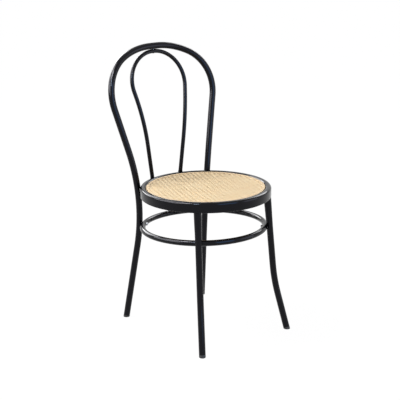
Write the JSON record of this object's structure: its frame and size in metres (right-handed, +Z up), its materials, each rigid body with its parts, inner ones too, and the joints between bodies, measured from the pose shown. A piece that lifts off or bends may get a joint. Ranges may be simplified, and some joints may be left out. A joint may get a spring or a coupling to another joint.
{
  "type": "metal dining chair",
  "caption": "Bistro dining chair of black bent steel tube with a double hooped back, a round cane seat in a rolled ring and a foot ring between the legs.",
  "frame": {"origin": "on the floor, on the chair's centre plane, midway along its depth", "axes": "+Z is up, the front of the chair faces -Y, and the sitter's left is -X as seen from the front"},
  "size_m": [0.419, 0.4762, 0.871],
  "materials": {
    "black_enamel": "gloss stoved enamel on steel tube",
    "woven_cane": "woven rattan cane, lightly lacquered",
    "smooth_reed": "flat smooth reed band, lightly lacquered",
    "plywood": "raw birch plywood",
    "zinc_steel": "bright zinc plate",
    "black_screws": "black plated steel",
    "black_nylon": "moulded black nylon"
  },
  "bodies": {
    "root": {"seat_ring": "black_enamel", "seat_board": "plywood", "cane_sheet": "woven_cane", "cane_border": "smooth_reed", "seat_lug_front": "black_enamel", "seat_lug_rear": "black_enamel", "seat_lug_left": "black_enamel", "seat_lug_right": "black_enamel", "seat_screws": "zinc_steel", "back_frame": "black_enamel", "back_spacer_left": "black_nylon", "back_spacer_right": "black_nylon", "back_bolts": "zinc_steel", "back_bolt_washers": "zinc_steel", "back_inserts": "zinc_steel", "inner_back_hoop": "black_enamel", "inner_hoop_screws": "black_screws", "inner_hoop_washers": "zinc_steel", "inner_hoop_nuts": "zinc_steel", "hoop_top_screw": "zinc_steel", "hoop_top_plug": "black_nylon", "hoop_top_insert": "zinc_steel", "front_leg_left": "black_enamel", "front_leg_right": "black_enamel", "front_leg_plug_left": "zinc_steel", "front_leg_plug_right": "zinc_steel", "front_leg_studs": "zinc_steel", "front_leg_inserts": "zinc_steel", "foot_ring": "black_enamel", "foot_ring_screws": "zinc_steel", "foot_ring_washers": "zinc_steel", "foot_ring_inserts": "zinc_steel", "front_foot_cap_left": "black_nylon", "front_foot_cap_right": "black_nylon", "rear_foot_cap_left": "black_nylon", "rear_foot_cap_right": "black_nylon"}
  },
  "joints": []
}
